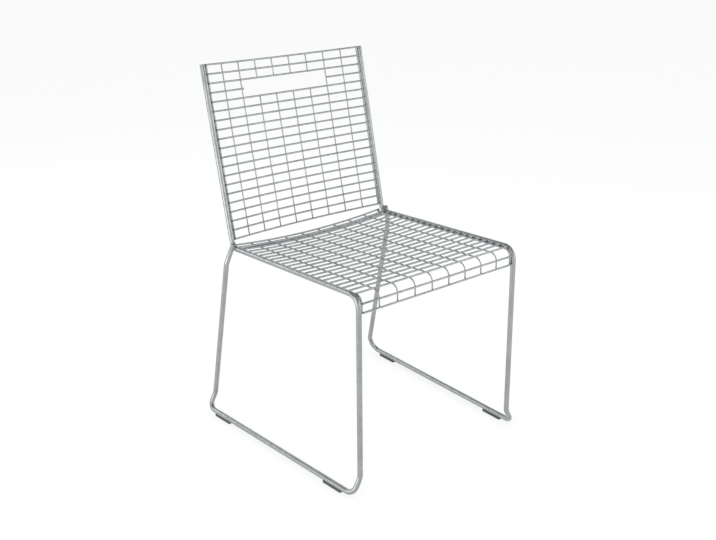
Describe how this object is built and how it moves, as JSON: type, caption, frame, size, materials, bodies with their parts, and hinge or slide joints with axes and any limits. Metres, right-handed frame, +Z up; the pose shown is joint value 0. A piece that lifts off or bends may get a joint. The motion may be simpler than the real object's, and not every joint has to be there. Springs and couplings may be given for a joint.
{
  "type": "wire mesh chair",
  "caption": "Stacking side chair with bent steel rod side frames on sled rails and a welded wire mesh seat and bowed back with a hand slot.",
  "frame": {"origin": "middle of the overall outline, on the floor", "axes": "+Z up, +X across the chair and square to its mirror plane, and the sitter faces -Y"},
  "size_m": [0.5266, 0.5545, 0.8127],
  "materials": {
    "rod_steel": "smooth light grey zinc plating, satin",
    "wire_steel": "smooth light grey zinc plating, satin",
    "glide_plastic": "dark grey moulded plastic, fine matte"
  },
  "bodies": {
    "root": {"side_frame_left": "rod_steel", "back_side_wire_left": "wire_steel", "seat_side_wire_left": "wire_steel", "glide_front_left": "glide_plastic", "glide_rear_left": "glide_plastic", "side_frame_right": "rod_steel", "back_side_wire_right": "wire_steel", "seat_side_wire_right": "wire_steel", "glide_front_right": "glide_plastic", "glide_rear_right": "glide_plastic", "back_cross_wire_01": "wire_steel", "back_cross_wire_02": "wire_steel", "back_cross_wire_03": "wire_steel", "back_cross_wire_04": "wire_steel", "back_cross_wire_05": "wire_steel", "back_cross_wire_06": "wire_steel", "back_cross_wire_07": "wire_steel", "back_cross_wire_08": "wire_steel", "back_cross_wire_09": "wire_steel", "back_cross_wire_10": "wire_steel", "back_cross_wire_11": "wire_steel", "back_cross_wire_12": "wire_steel", "back_cross_wire_13": "wire_steel", "back_cross_wire_14": "wire_steel", "back_cross_wire_15": "wire_steel", "back_cross_wire_16": "wire_steel", "back_cross_wire_17": "wire_steel", "back_cross_wire_18": "wire_steel", "back_cross_wire_19": "wire_steel", "back_cross_wire_20": "wire_steel", "back_long_wire_1": "wire_steel", "seat_long_wire_1": "wire_steel", "back_long_wire_2": "wire_steel", "seat_long_wire_2": "wire_steel", "back_long_wire_3": "wire_steel", "seat_long_wire_3": "wire_steel", "back_long_wire_4": "wire_steel", "seat_long_wire_4": "wire_steel", "back_long_wire_5": "wire_steel", "seat_long_wire_5": "wire_steel", "back_long_wire_6": "wire_steel", "seat_long_wire_6": "wire_steel", "back_long_wire_7": "wire_steel", "seat_long_wire_7": "wire_steel", "back_long_wire_8": "wire_steel", "seat_long_wire_8": "wire_steel", "seat_cross_wires_01_02": "wire_steel", "seat_cross_wires_03_04": "wire_steel", "seat_cross_wires_05_06": "wire_steel", "seat_cross_wires_07_08": "wire_steel", "seat_cross_wires_09_10": "wire_steel", "seat_cross_wires_11_12": "wire_steel", "seat_cross_wires_13_14": "wire_steel", "seat_cross_wires_15_16": "wire_steel", "seat_cross_wires_17_18": "wire_steel", "seat_cross_wires_19_20": "wire_steel", "seat_cross_wires_21_22": "wire_steel", "apron_wire_1": "wire_steel", "apron_wire_2": "wire_steel", "rear_seat_stay": "wire_steel"}
  },
  "joints": []
}
